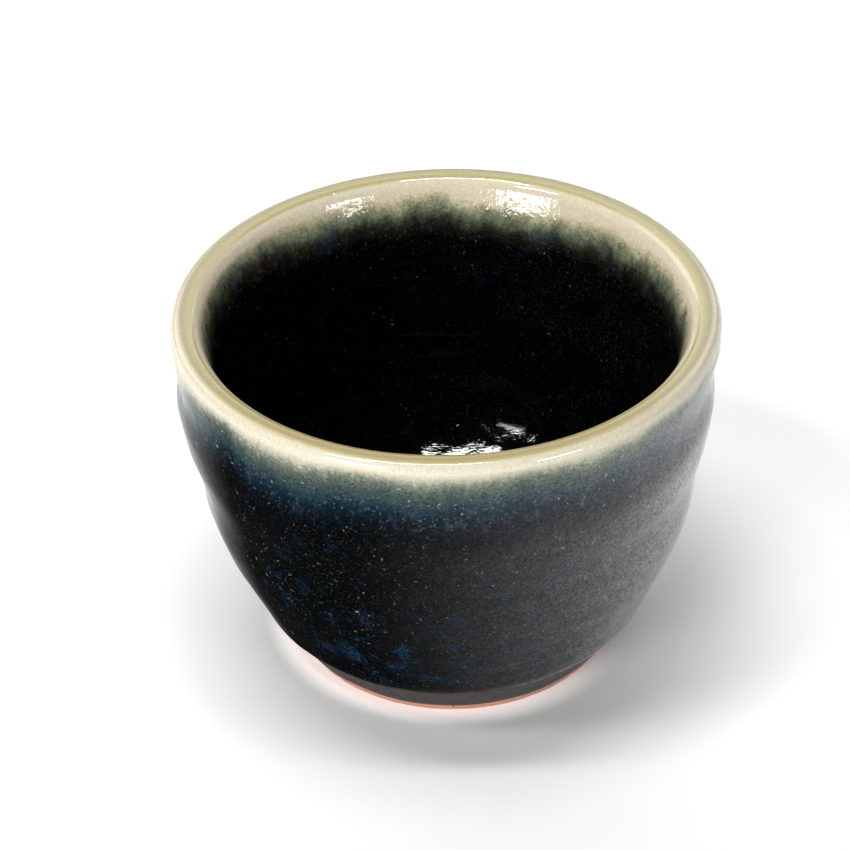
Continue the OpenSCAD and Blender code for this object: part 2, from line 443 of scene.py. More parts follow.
def ring_foot(material):
    """Luted foot ring with a worn, slightly uneven tread."""
    root = FOOT_IN_R - FOOT_DRAFT
    tread = np.linspace(FOOT_IN_R + FOOT_BEVEL, FOOT_R - FOOT_BEVEL, TREAD_ROWS)
    side = np.linspace(FOOT_BEVEL, FOOT_H, SIDE_ROWS)
    bend = [(FOOT_BEVEL * (1 - math.cos(c)), FOOT_BEVEL * (1 + math.sin(c))) for c in np.radians(BEVEL_TURNS)]
    path = [(r, 0.0) for r in tread] + [(FOOT_R - set_in, h) for set_in, h in bend]
    path += [(FOOT_R, h) for h in side] + [(r, FOOT_H) for r in np.linspace(FOOT_R, root, ROOT_ROWS)[1:-1]]
    slope = (FOOT_IN_R - root) / (FOOT_H - FOOT_BEVEL)
    path += [(root + slope * (FOOT_H - h), h) for h in side[::-1]]
    path += [(FOOT_IN_R + set_in, h) for set_in, h in bend[::-1]]
    r, z = (np.array(c)[:, None] + 0 * ANGLE for c in zip(*path))
    x, y = r * np.cos(ANGLE), r * np.sin(ANGLE)
    wear = sum(np.abs(lump(x, y, z, *layer)) for layer in TREAD_WEAR)
    z = z + wear * smooth((TREAD_WEAR_H - z) / TREAD_WEAR_H)
    outer = r > (FOOT_R + FOOT_IN_R) / 2
    r = r - np.abs(lump(x, y, z, *SIDE_WEAR)) * outer * smooth(SIDE_WEAR_H - z)
    return revolve("ring_foot", place(r, z), True, material)


# Nodes

# Noise is scaled and shifted to run from about -1 to 1. A spot is at least this share of its size, and
# soft over this share of its radius
NOISE_SPREAD, NOISE_SHIFT, SPOT_LEAST, SPOT_SOFT = 4.0, -2.0, 0.4, 0.55


class Nodes:
    """The nodes of one material, written as short expressions."""

    def __init__(self, name):
        self.material = bpy.data.materials.new(name)
        self.material.use_nodes = True
        self.tree = self.material.node_tree
        self.shader = self.tree.nodes["Principled BSDF"]

    def add(self, kind, inputs=(), **settings):
        """A node with its settings, and with numbers or other nodes' outputs in its inputs."""
        node = self.tree.nodes.new(kind)
        for key, value in settings.items():
            setattr(node, key, value)
        for socket, value in dict(inputs).items():
            self.put(node.inputs[socket], value)
        return node

    def put(self, socket, value):
        if isinstance(value, bpy.types.NodeSocket):
            self.tree.links.new(value, socket)
        elif isinstance(value, (tuple, list)) and len(value) == 3 and socket.type == "RGBA":
            socket.default_value = (*value, 1)
        else:
            socket.default_value = value

    def shade(self, values):
        """Sets the shader's own inputs."""
        for name, value in values.items():
            self.put(self.shader.inputs[name], value)

    def math(self, operation, a, b=0.0, c=0.0):
        return self.add("ShaderNodeMath", {0: a, 1: b, 2: c}, operation=operation).outputs[0]

    def sum(self, *values):
        total = values[0]
        for value in values[1:]:
            total = self.math("ADD", total, value)
        return total

    def times(self, *values):
        total = values[0]
        for value in values[1:]:
            total = self.math("MULTIPLY", total, value)
        return total

    def line(self, value, slope, start):
        """A start value plus so much of another."""
        return self.math("MULTIPLY_ADD", value, slope, start)

    def step(self, value, low, high):
        """Smooth step of a value from 0 at low to 1 at high."""
        levels = {"Value": value, "From Min": low, "From Max": high}
        return self.add("ShaderNodeMapRange", levels, interpolation_type="SMOOTHSTEP").outputs["Result"]

    def mix(self, share, a, b, blend="MIX"):
        """Colour a with a share of colour b."""
        node = self.add("ShaderNodeMix", data_type="RGBA", blend_type=blend)
        for i, value in ((0, share), (6, a), (7, b)):
            self.put(node.inputs[i], value)
        return node.outputs[2]

    def blend(self, share, a, b):
        """Number a with a share of number b."""
        node = self.add("ShaderNodeMix", data_type="FLOAT")
        for i, value in ((0, share), (2, a), (3, b)):
            self.put(node.inputs[i], value)
        return node.outputs[0]

    def ramp(self, value, stops, reach):
        """Colours along a length in millimetres, up to reach."""
        node = self.add("ShaderNodeValToRGB", {0: self.math("DIVIDE", value, reach)})
        elements = node.color_ramp.elements
        while len(elements) < len(stops):
            elements.new(0.5)
        for element, (position, colour) in zip(elements, stops):
            element.position = position / reach
            element.color = (*colour, 1)
        return node.outputs[0]

    def scaled(self, point, factors=(1, 1, 1), shift=(0, 0, 0)):
        """A point stretched along each axis and then shifted."""
        node = self.add("ShaderNodeVectorMath", {0: point, 1: factors, 2: shift}, operation="MULTIPLY_ADD")
        return node.outputs[0]

    def millimetres(self, shift=(0, 0, 0)):
        """Place on the piece in millimetres."""
        return self.scaled(self.add("ShaderNodeTexCoord").outputs["Object"], (1 / MM, 1 / MM, 1 / MM), shift)

    def split(self, point):
        return self.add("ShaderNodeSeparateXYZ", {0: point}).outputs

    def across(self, x, y):
        """Distance from the axis."""
        return self.math("SQRT", self.sum(self.times(x, x), self.times(y, y)))

    def noise(self, point, size, detail=2.0, rough=0.5):
        """Noise from about -1 to 1, with lumps of about that size in millimetres."""
        inputs = {"Vector": point, "Scale": 1 / size, "Detail": detail, "Roughness": rough}
        value = self.add("ShaderNodeTexNoise", inputs).outputs["Fac"]
        return self.line(value, NOISE_SPREAD, NOISE_SHIFT)

    def specks(self, point, cell, share, size):
        """Small round spots: 1 in a spot and 0 between. A share of the cells hold one."""
        node = self.add("ShaderNodeTexVoronoi", {"Vector": point, "Scale": 1 / cell})
        chance = self.add("ShaderNodeSeparateColor", {0: node.outputs["Color"]})
        here = self.math("GREATER_THAN", chance.outputs[0], 1 - share)
        radius = self.line(chance.outputs[1], (1 - SPOT_LEAST) * size / cell, SPOT_LEAST * size / cell)
        near = self.math("SUBTRACT", 1.0, self.math("DIVIDE", node.outputs["Distance"], radius))
        return self.times(self.step(near, 0.0, SPOT_SOFT), here)

    def bump(self, height):
        return self.add("ShaderNodeBump", {"Height": height, "Distance": MM}).outputs[0]


# Glaze

# Colour at each length along the face from the crest, in millimetres and in linear light
LIGHT_OLIVE, OLIVE, CREAM = (0.42, 0.365, 0.175), (0.41, 0.355, 0.16), (0.83, 0.765, 0.60)
BEIGE, ARRIS = (0.80, 0.71, 0.53), (0.80, 0.74, 0.56)
BLACK = (0.0010, 0.0011, 0.0013)
OUTSIDE = [
    (0.0, LIGHT_OLIVE), (0.35, OLIVE), (1.0, CREAM), (2.4, CREAM), (3.0, (0.64, 0.61, 0.46)),
    (3.9, (0.31, 0.34, 0.26)), (5.0, (0.14, 0.172, 0.145)), (6.2, (0.068, 0.098, 0.090)),
    (7.4, (0.038, 0.068, 0.076)), (8.6, (0.013, 0.035, 0.053)), (9.6, (0.005, 0.016, 0.028)),
    (11.0, (0.002, 0.005, 0.009)), (13.0, BLACK),
]
INSIDE = [
    (0.0, LIGHT_OLIVE), (0.45, (0.50, 0.44, 0.21)), (1.05, (0.57, 0.49, 0.23)), (1.4, ARRIS), (1.7, ARRIS),
    (2.0, BEIGE), (3.2, BEIGE), (4.0, (0.56, 0.52, 0.34)), (4.6, (0.36, 0.36, 0.225)),
    (5.3, (0.22, 0.245, 0.160)), (6.1, (0.110, 0.130, 0.090)), (6.9, (0.044, 0.046, 0.032)),
    (7.7, (0.014, 0.014, 0.010)), (9.4, BLACK),
]
RAMP_REACH = 16.0

# Colours that multiply those: painted shade on the near crest, darker and yellower where the coat whitens it,
# and both ends of the grit
NEAR_CREST_SHADE, GRIT_DARK, GRIT_LIGHT = (0.88, 0.79, 0.52), (0.64, 0.64, 0.60), (1.12, 1.12, 1.12)

# Colours that lie over those, each with its share
BLOTCH_BLUE, BLOTCH_OLIVE = ((0.052, 0.078, 0.120), 0.7), ((0.20, 0.18, 0.095), 0.6)
RUN_BLUE, RUN_RUST = ((0.009, 0.028, 0.050), 0.6), ((0.048, 0.025, 0.015), 0.65)
PATCH_BLUE, DUST_GREY = ((0.008, 0.038, 0.082), 0.95), ((0.070, 0.067, 0.064), 0.75)
# Painted highlight in the crease over the foot, partly glaze that breaks thin over the edge
CREASE_HIGHLIGHT = ((0.24, 0.23, 0.22), 0.6)
# Grey of the painted sheen on one side of the wall, and the greyer glaze of the foot
SHEEN_GREY, FOOT_GREY = (0.85, 0.85, 0.90), (0.082, 0.074, 0.071)

# Noises: stretch along each axis, where a small number draws it out, shift, size in millimetres,
# detail and roughness
EVEN, STILL = (1, 1, 1), (0, 0, 0)
NOISES = {
    "drift": (EVEN, STILL, 17, 0.0, 0.5),
    "wide runs": ((1, 1, 0.3), (40, 0, 0), 4.0, 2.0, 0.5),
    "thin runs": ((1, 1, 0.22), STILL, 1.1, 2.0, 0.5),
    "rust runs": ((1, 1, 0.45), (3, 9, 4), 2.4, 3.0, 0.6),
    "blue runs": ((1, 1, 0.45), (31, 8, 0), 3.4, 4.0, 0.65),
    "grain": (EVEN, STILL, 0.5, 2.0, 0.65),
    "grit": (EVEN, (5, 0, 23), 0.28, 1.0, 0.5),
    "mottle": (EVEN, (0, 61, 0), 1.5, 3.0, 0.6),
    "streaks": ((0.3, 0.3, 1.3), (0, 30, 0), 2.4, 2.0, 0.5),
    "crease": (EVEN, STILL, 4.0, 2.0, 0.5),
    "clouds": (EVEN, STILL, 5.0, 1.0, 0.5),
    "wide patches": (EVEN, STILL, 13.0, 0.0, 0.5),
    "flecks": (EVEN, (9, 2, 0), 3.4, 4.0, 0.65),
    "dust": (EVEN, (0, 17, 0), 0.26, 1.0, 0.5),
    "peel": (EVEN, STILL, 1.1, 1.0, 0.5),
    "ripple": (EVEN, (0, 0, 50), 0.42, 1.0, 0.5),
    "combed": ((0.30, 1, 1), (0, 0, 9), 0.26, 2.0, 0.5),
}

# How far some noises move the ends of the coats, in millimetres, inside and outside
WANDER = {
    "drift": (0.35, 0.35), "wide runs": (0.8, 0.5), "thin runs": (0.20, 0.35), "grain": (0.4, 0.7),
    "mottle": (0.6, 0.35),
}

# Spans of the length from the crest over which something sets in. It fades where the larger comes first
WANDER_IN, CREST_OUT, FADING_IN, FADING_OUT = (1.8, 5.0), (1.4, 0.5), (2.6, 4.6), (12.0, 9.0)
DARK_IN, OLIVE_OUT, EDGE_IN, EDGE_OUT = (7.5, 11.0), (8.0, 5.5), (3.6, 5.2), (10.0, 7.6)
SHEEN_IN, SHEEN_FULL, WISP_IN, WISP_OUT = (3.2, 5.5), (10.5, 17.0), (13.0, 17.5), (22.0, 18.5)
BAND_IN, BAND_END, DULL_IN, DULL_OUT = (3.4, 5.0), (8.0, 12.5), (6.5, 9.5), (35.0, 33.5)
ROUGH_IN, ROUGH_OUT, COMBED_IN = (1.6, 2.4), (12.0, 8.0), (30.0, 33.0)

# The same for the height above the table, and for how far to the front the near crest starts
FOOT_OUT, CREASE_IN, CREASE_OUT, SHINE_OUT = (3.7, 3.2), (3.3, 3.6), (4.8, 3.8), (5.4, 3.8)
PATCH_LOW, PATCH_IN, PATCH_OUT, NEAR_IN = (3.6, 6.0), (4.0, 8.0), (27.0, 13.0), (-8.0, -30.0)

# The same in degrees, from the middle of the painted sheen, and from the middle of the patches for the last
SHEEN_SIDE_OUT, STRONG_SHEEN_OUT, DUSTY_OUT, POLISH_IN = (133, 25), (75, 20), (125, 90), (152, 180)
PATCHED_OUT = (50, 15)

# Level directions of those two middles, and how the near crest leans to one side
SHEEN_WAY, PATCH_WAY, NEAR_LEAN = (0.985, 0.174), (-0.26, -0.966), 0.15

# Spans of the noises themselves
GRIT_SPAN, BLUE_BLOTCHES, OLIVE_BLOTCHES = (-1.2, 1.2), (0.1, 1.2), (-0.3, -1.4)
RUST_SPAN, BLUE_SPAN, CREASE_SPAN, CLOUD_SPAN = (0.15, 1.0), (0.05, 0.9), (-1.5, 0.5), (-1.3, 0.5)
WIDE_SPAN, FLECK_SPAN, SPARKLE_SPAN, DUST_SPAN = (-0.7, 0.5), (0.2, 1.05), (-0.5, 0.7), (0.1, 1.5)

# Pairs of how much is added in full and how much is there from the start
GRITTY, FOOT_GRAIN, SHEEN_GROWS, WISP_ADDS = (0.65, 0.35), (0.10, 0.82), (0.45, 0.55), (0.35, 1.0)
DIM_SPECKS, SPARKLE = (0.6, 0.5), (0.85, 0.15)

# Painted sheen, a milky grey where light falls on one side of the wall: power and shares of its wide and its
# strong part, and how much each noise varies it
SHEEN_SIDE_POWER, SHEEN_SHARE, STRONG_SHEEN_SHARE = 1.6, 0.16, 0.16
SHEEN_GRAIN = {"streaks": 0.22, "grain": 0.45, "grit": 0.65, "mottle": 0.30}

# Patches: shares of the wide ones, of more flecks where they gather, and of patches and dust inside
WIDE_SHARE, MORE_FLECKS, INSIDE_SHARE = 0.7, 0.35, 0.4

# Dust under the painted sheen, on the side of the sheen, and everywhere
DUST_SHEEN_SIDE, DUST_SIDE, DUST_LEAST = 1.2, 0.22, 0.03

# Layers of specks: cell in millimetres, share of the cells that hold one, size in millimetres, tone,
# zone and strength
SPECKS = [
    (0.36, 0.60, 0.17, (0.038, 0.036, 0.028), "dim", 1.0),
    (0.42, 0.55, 0.18, (0.036, 0.040, 0.042), "dim", 1.0),
    (0.70, 0.48, 0.20, (0.105, 0.098, 0.070), "dark", 1.0),
    (1.20, 0.40, 0.22, (0.24, 0.26, 0.25), "dark", 1.0),
    (0.42, 0.65, 0.20, (0.028, 0.105, 0.175), "patch", 1.0),
    (0.46, 0.50, 0.24, (0.13, 0.17, 0.18), "band", 0.7),
    (0.60, 0.50, 0.26, (0.016, 0.028, 0.038), "band", 0.8),
    (0.95, 0.30, 0.24, (0.27, 0.34, 0.35), "band", 1.0),
]

# How much the patches and the rest of the dark glaze take the specks of the patches
PATCH_SPECKS, REST_SPECKS = 1.1, 0.15

# Shift from one layer to the next, how far and how finely the specks are bent, and their share inside
SPECK_SHIFT, SPECK_BEND, SPECK_BEND_SCALE, SPECKS_INSIDE = (13.7, 5.1, 3.3), (0.7, 0.7, 0.7), 1.8, 0.25

# Weight of the coat on wet and on dull glaze, and how much the side of the painted sheen, the polished side,
# the foot and everything else give the skin on the dark glaze outside
WET, DULL = 0.95, 0.03
SKIN_SHEEN_SIDE, SKIN_POLISH, SKIN_FOOT, SKIN_LEAST = 0.85, 0.85, 0.6, 0.02

# Roughness of the pale and of the dark glaze, and roughness and index of the coat over them
PALE_ROUGH, DARK_ROUGH, COAT_ROUGH, COAT_IOR = 0.32, 0.46, 0.05, 1.6

# Heights of the bumps in millimetres. Inside, a pair is what the rough zone adds and what is everywhere
PEEL_INSIDE, RIPPLE_INSIDE, COMBED_INSIDE = (0.015, 0.001), (0.0065, 0.0004), 0.0026
PEEL_OUTSIDE, RIPPLE_OUTSIDE, PIT_HEIGHT = 0.010, 0.0009, -0.03

# Pits: shift, cell, share and size
PIT_SHIFT, PITS = (7, 7, 7), (2.2, 0.3, 0.32)


class Glaze(Nodes):
    """One glaze. Its side is out, in, or both for the coat that goes over the lip."""

    def __init__(self, name, side):
        super().__init__(name)
        self.side = side
        self.fields = {}
        self.point = self.millimetres()
        self.x, self.y, self.z = self.split(self.point)
        self.radius = self.across(self.x, self.y)
        run = self.add("ShaderNodeAttribute", attribute_name=RUN, attribute_type="GEOMETRY").outputs["Fac"]
        self.down = self.math("ABSOLUTE", run)
        self.is_out = self.math("GREATER_THAN", run, 0.0) if side == "both" else float(side == "out")
        self.reach = self.wandering()
        self.dark = self.step(self.reach, *DARK_IN)
        self.fading = self.times(self.step(self.reach, *FADING_IN), self.step(self.reach, *FADING_OUT))
        self.clouds = self.step(self.field("clouds"), *CLOUD_SPAN)
        # Angle from the middle of the painted sheen, and how much of that painted sheen lies here
        self.away = self.angle_from(SHEEN_WAY)
        self.sheen_side = self.math("POWER", self.turned(self.away, *SHEEN_SIDE_OUT), SHEEN_SIDE_POWER)
        self.shade({"Base Color": self.colour()})
        self.gloss()
        self.surface()

    def colour(self):
        """The coats of that side, from the ones that run down to the specks on top."""
        colour = self.coats()
        if self.side != "in":
            colour = self.blotches(colour)
        if self.side != "out":
            colour = self.runs(colour)
        if self.side != "in":
            # Painted sheen on one side of the wall, then the foot with the painted highlight in its crease
            colour = self.foot(self.painted_sheen(colour))
        patch = self.patch()
        colour = self.dusted(self.lay(PATCH_BLUE, colour, patch))
        return self.speckled(colour, patch)

    def field(self, key):
        """One of the noises, made once."""
        if key not in self.fields:
            stretch, shift, size, detail, rough = NOISES[key]
            self.fields[key] = self.noise(self.scaled(self.point, stretch, shift), size, detail, rough)
        return self.fields[key]

    def lay(self, tone, colour, *where):
        """A tone over the colour, with its own share of where it lies."""
        over, share = tone
        return self.mix(self.times(*where, share), colour, over)

    def angle_from(self, way):
        """Angle round the axis from a level direction."""
        along = self.sum(self.times(self.x, way[0]), self.times(self.y, way[1]))
        return self.math("ARCCOSINE", self.math("DIVIDE", along, self.radius))

    def turned(self, angle, low, high):
        """Smooth step of an angle between two angles in degrees."""
        return self.step(angle, math.radians(low), math.radians(high))

    def wandering(self):
        """Length from the crest as the colours run, which wanders away from the lip."""
        moves = [self.times(self.field(key), self.blend(self.is_out, *far)) for key, far in WANDER.items()]
        wander = self.times(self.sum(*moves), self.step(self.down, *WANDER_IN))
        return self.math("SUBTRACT", self.down, wander)

    def coats(self):
        """Colours of the coats down the face, gritty where they fade, with painted shade on the near crest.
        """
        colour = self.ramp(self.reach, INSIDE if self.side == "in" else OUTSIDE, RAMP_REACH)
        if self.side == "both":
            colour = self.mix(self.is_out, self.ramp(self.reach, INSIDE, RAMP_REACH), colour)
        grit = self.mix(self.step(self.field("grit"), *GRIT_SPAN), GRIT_DARK, GRIT_LIGHT)
        colour = self.mix(self.line(self.fading, *GRITTY), colour, grit, "MULTIPLY")
        near = self.step(self.sum(self.times(self.x, NEAR_LEAN), self.y), *NEAR_IN)
        # Painted shade on the near crest, darker and yellower
        return self.mix(self.times(near, self.step(self.down, *CREST_OUT)), colour, NEAR_CREST_SHADE, "MULTIPLY")

    def blotches(self, colour):
        """Blue and olive blotches in the band outside."""
        where, mottle = self.times(self.fading, self.is_out), self.field("mottle")
        colour = self.lay(BLOTCH_BLUE, colour, where, self.step(mottle, *BLUE_BLOTCHES))
        olive = self.times(where, self.step(mottle, *OLIVE_BLOTCHES))
        return self.lay(BLOTCH_OLIVE, colour, olive, self.step(self.reach, *OLIVE_OUT))

    def runs(self, colour):
        """Rust-brown and deep blue runs where the pale coat ends inside."""
        edge = self.times(self.step(self.reach, *EDGE_IN), self.step(self.reach, *EDGE_OUT))
        edge = self.times(edge, self.math("SUBTRACT", 1.0, self.is_out))
        colour = self.lay(RUN_BLUE, colour, self.step(self.field("blue runs"), *BLUE_SPAN), edge)
        return self.lay(RUN_RUST, colour, self.step(self.field("rust runs"), *RUST_SPAN), edge)

    def painted_sheen(self, colour):
        """Painted sheen: a milky grey on one side of the wall where light falls, with a brighter painted wisp
        across it.
        """
        strong_sheen = self.turned(self.away, *STRONG_SHEEN_OUT)
        wisp = self.times(self.step(self.down, *WISP_IN), self.step(self.down, *WISP_OUT), strong_sheen)
        share = self.sum(self.times(self.sheen_side, SHEEN_SHARE), self.times(strong_sheen, STRONG_SHEEN_SHARE))
        share = self.times(share, self.line(self.step(self.down, *SHEEN_FULL), *SHEEN_GROWS))
        share = self.times(share, self.line(wisp, *WISP_ADDS))
        for key, amount in SHEEN_GRAIN.items():
            share = self.times(share, self.line(self.field(key), amount, 1.0))
        return self.mix(self.times(share, self.step(self.reach, *SHEEN_IN), self.is_out), colour, SHEEN_GREY)

    def foot(self, colour):
        """Greyer glaze on the side of the foot, and a light line in the crease over it: a painted highlight,
        partly glaze that breaks thin over the edge.
        """
        grain = self.line(self.sum(self.field("grain"), self.field("mottle")), *FOOT_GRAIN)
        colour = self.mix(self.times(self.step(self.z, *FOOT_OUT), grain), colour, FOOT_GREY)
        crease = self.times(self.step(self.z, *CREASE_IN), self.step(self.z, *CREASE_OUT))
        # Painted highlight in the crease, partly thin glaze over the edge
        return self.lay(CREASE_HIGHLIGHT, colour, crease, self.step(self.field("crease"), *CREASE_SPAN))

    def patch(self):
        """Where the blue patches of the dark glaze lie, most of them low at the front."""
        front = self.turned(self.angle_from(PATCH_WAY), *PATCHED_OUT)
        where = self.times(front, self.step(self.z, *PATCH_OUT), self.step(self.z, *PATCH_IN))
        wide = self.times(self.step(self.field("wide patches"), *WIDE_SPAN), WIDE_SHARE)
        flecks = self.sum(self.field("flecks"), self.times(where, MORE_FLECKS))
        patch = self.times(self.step(flecks, *FLECK_SPAN), self.math("MAXIMUM", wide, where))
        patch = self.times(patch, self.dark, self.blend(self.is_out, INSIDE_SHARE, 1.0))
        sparkle = self.line(self.step(self.field("grit"), *SPARKLE_SPAN), *SPARKLE)
        return self.times(patch, self.step(self.z, *PATCH_LOW), sparkle)

    def dusted(self, colour):
        """Fine dust in the dark glaze, most of it under the painted sheen."""
        side = self.times(self.turned(self.away, *DUSTY_OUT), DUST_SIDE)
        more = self.sum(self.times(self.sheen_side, DUST_SHEEN_SIDE), side, DUST_LEAST)
        dust = self.times(self.step(self.field("dust"), *DUST_SPAN), self.dark, self.clouds, more)
        return self.lay(DUST_GREY, colour, dust, self.blend(self.is_out, INSIDE_SHARE, 1.0))

    def speckled(self, colour, patch):
        """Specks of undissolved ash, bent a little out of round."""
        inputs = {"Vector": self.point, "Scale": SPECK_BEND_SCALE, "Detail": 0.0}
        wobble = self.add("ShaderNodeTexNoise", inputs).outputs["Color"]
        bent = self.scaled(wobble, SPECK_BEND, self.point)
        ended = self.step(self.down, *BAND_END)
        band = self.times(self.step(self.down, *BAND_IN), self.math("SUBTRACT", 1.0, ended))
        dark = self.times(self.dark, self.clouds)
        zones = {
            "dim": self.times(dark, self.line(self.sheen_side, *DIM_SPECKS)),
            "dark": dark,
            "patch": self.sum(self.times(patch, PATCH_SPECKS), self.times(self.dark, REST_SPECKS)),
            "band": band,
        }
        for i, (cell, share, size, tone, zone, strength) in enumerate(SPECKS):
            shift = tuple(step * i for step in SPECK_SHIFT)
            spot = self.specks(self.scaled(bent, shift=shift), cell, share, size)
            where = self.times(zones[zone], strength)
            if self.side != "out":
                where = self.times(where, self.blend(self.is_out, SPECKS_INSIDE, 1.0))
            colour = self.mix(self.times(spot, where), colour, tone)
        return colour

    def gloss(self):
        """A wet coat on the pale glaze and on the inner floor, and a drier skin on the dark glaze."""
        polish = self.times(self.turned(self.away, *POLISH_IN), SKIN_POLISH)
        near_foot = self.times(self.step(self.z, *SHINE_OUT), SKIN_FOOT)
        skin = self.sum(self.times(self.sheen_side, SKIN_SHEEN_SIDE), polish, near_foot, SKIN_LEAST)
        dull = self.times(self.step(self.down, *DULL_IN), self.step(self.down, *DULL_OUT))
        outside = self.blend(self.step(self.reach, *FADING_IN), WET, skin)
        weight = self.blend(self.is_out, self.blend(dull, WET, DULL), outside)
        rough = PALE_ROUGH
        if self.side != "in":
            rough = self.blend(self.times(self.dark, self.is_out), PALE_ROUGH, DARK_ROUGH)
        self.shade({"Roughness": rough, "Specular IOR Level": 0.0})
        self.shade({"Coat Weight": weight, "Coat Roughness": COAT_ROUGH, "Coat IOR": COAT_IOR})

    def surface(self):
        """Orange peel, ripples and pits. Inside, they are strongest where the pale coat ends."""
        peel, ripple = self.field("peel"), self.field("ripple")
        rough = self.times(self.step(self.down, *ROUGH_IN), self.step(self.down, *ROUGH_OUT))
        inside = self.sum(
            self.times(peel, self.line(rough, *PEEL_INSIDE)),
            self.times(ripple, self.line(rough, *RIPPLE_INSIDE)),
            self.times(self.field("combed"), self.step(self.down, *COMBED_IN), COMBED_INSIDE),
        )
        outside = self.sum(self.times(peel, PEEL_OUTSIDE), self.times(ripple, RIPPLE_OUTSIDE))
        pits = self.times(self.specks(self.scaled(self.point, shift=PIT_SHIFT), *PITS), PIT_HEIGHT)
        normal = self.bump(self.sum(self.blend(self.is_out, inside, outside), pits))
        self.shade({"Normal": normal, "Coat Normal": normal})


# Clay

# Tones of the body and of the foot, how much darker and lighter they get, the flush and the iron specks
BODY_TONE, FOOT_TONE = (0.60, 0.34, 0.22), (0.80, 0.40, 0.27)
CLAY_SHADE, CLAY_LIGHT = 0.82, 1.25
FLUSH, FLUSH_SHARE, FLUSH_HEIGHTS = (0.36, 0.13, 0.06), 0.7, (0.55, 1.1)
IRON, IRON_SHARE, IRON_SPECKS = (0.09, 0.04, 0.025), 0.8, (1.4, 0.25, 0.28)
CLAY_PIT_SHIFT, CLAY_PITS = (3, 9, 1), (0.8, 0.4, 0.3)

# Its noises as size, detail and roughness, and the spans of those noises
CLAY_CLOUD, CLAY_GRAIN, FLUSH_CLOUD = (4.0, 3.0), (0.35, 3.0, 0.7), 3.0
SHADE_SPAN, LIGHT_SPAN, FLUSH_SPAN = (-1.2, 1.2), (0.2, 1.4), (-0.6, 0.8)

# Heights of its grain, clouds and pits in millimetres, its roughness, how much that varies, and its shine
GRAIN_HEIGHT, CLOUD_HEIGHT, CLAY_PIT_HEIGHT = 0.02, 0.01, -0.05
CLAY_ROUGH, CLAY_ROUGH_VARY, CLAY_SHINE = 0.82, 0.05, 0.3


def clay(name, tone):
    """Bare fired stoneware: grit, iron specks, and a darker flush beside the glaze."""
    n = Nodes(name)
    point = n.millimetres()
    z = n.split(point)[2]
    cloud, grain = n.noise(point, *CLAY_CLOUD), n.noise(point, *CLAY_GRAIN)
    colour = n.mix(n.step(cloud, *SHADE_SPAN), tuple(CLAY_SHADE * c for c in tone), tone)
    colour = n.mix(n.step(grain, *LIGHT_SPAN), colour, tuple(min(1.0, CLAY_LIGHT * c) for c in tone))
    flush = n.times(n.step(z, *FLUSH_HEIGHTS), n.step(n.noise(point, FLUSH_CLOUD), *FLUSH_SPAN))
    colour = n.mix(n.times(flush, FLUSH_SHARE), colour, FLUSH)
    colour = n.mix(n.times(n.specks(point, *IRON_SPECKS), IRON_SHARE), colour, IRON)
    pits = n.times(n.specks(n.scaled(point, shift=CLAY_PIT_SHIFT), *CLAY_PITS), CLAY_PIT_HEIGHT)
    height = n.sum(n.times(grain, GRAIN_HEIGHT), n.times(cloud, CLOUD_HEIGHT), pits)
    rough = n.line(grain, CLAY_ROUGH_VARY, CLAY_ROUGH)
    n.shade({"Base Color": colour, "Roughness": rough, "Specular IOR Level": CLAY_SHINE})
    n.shade({"Normal": n.bump(height)})
    return n.material


def dress():
    """Builds the five pieces, each in the place of its solid."""
    makers = [
        (clay_bowl, "clay_body", "bare_clay", clay("bare_clay_body", BODY_TONE)),
        (ring_foot, "foot_ring", "foot_clay", clay("bare_clay_foot", FOOT_TONE)),
        (inner_coat, "inner_glaze", "dark_inner_glaze", Glaze("glaze_inside", "in").material),
        (outer_coat, "outer_glaze", "dark_outer_glaze", Glaze("glaze_outside", "out").material),
        (rim_coat, "pale_rim_glaze", "pale_ash_glaze", Glaze("glaze_lip", "both").material),
    ]
    for make, node, slot, material in makers:
        piece = make(material)
        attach(piece, "root")
        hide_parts(node)


# Studio

# Camera, fitted to the outline of the cup: millimetres, degrees and pixels, and metres for what it clips
CAMERA_DISTANCE, CAMERA_ELEVATION, CAMERA_ROLL = 600.0, 34.45, -1.29
CAMERA_TARGET = (-2.85, 0.0, 28.93)
FOCAL_PIXELS, FRAME_PIXELS, SENSOR = 4800.0, 850.0, 36.0
CLIP_NEAR, CLIP_FAR = 0.05, 20

# Lamps: direction, distance, width and height in metres, power in watts, and direction of the long side
LAMPS = {
    "overhead": ((-0.09, -0.07, 0.985), 0.70, (0.34, 0.045), 1.7, (1, 0, 0)),
    "second": ((-0.435, -0.27, 0.855), 0.70, (0.15, 0.05), 0.80, (0.82, -0.57, 0)),
    "front_left": ((-0.46, -0.79, 0.40), 0.80, (0.70, 0.40), 0.5, None),
    "window": ((-0.575, -0.775, 0.285), 0.90, (0.38, 0.29), 4.0, None),
    "front_right": ((0.66, -0.69, 0.26), 0.90, (0.28, 0.22), 2.0, None),
    "back": ((-0.13, 0.75, 0.64), 0.80, (1.4, 0.6), 4.9, None),
}

# Strength of the room's light, from a low direction to a high one
ROOM = {"From Min": 0.2, "From Max": 0.75, "To Min": 0.55, "To Max": 0.05}

# Table: half its size in metres, its colour and its roughness
TABLE_SIZE, TABLE_WHITE, TABLE_ROUGH = 3.0, (0.96, 0.96, 0.955), 0.9

# Warm light beside the foot: tint, strength, direction, and its spans of radius and of direction
WHITE, RING_TINT, RING_GLOW, RING_WAY = (1.0, 1.0, 1.0), (1.0, 0.86, 0.82), 0.42, (-0.64, -0.77)
RING_OUT, RING_SIDE = (24.6, 21.4), (-0.5, 0.9)

# Light of the table itself: everywhere, and added over each span of radius in millimetres
TABLE_GLOW, FAR_GLOW = 0.07, [((30.0, 46.0), 0.13), ((150.0, 300.0), 0.4)]


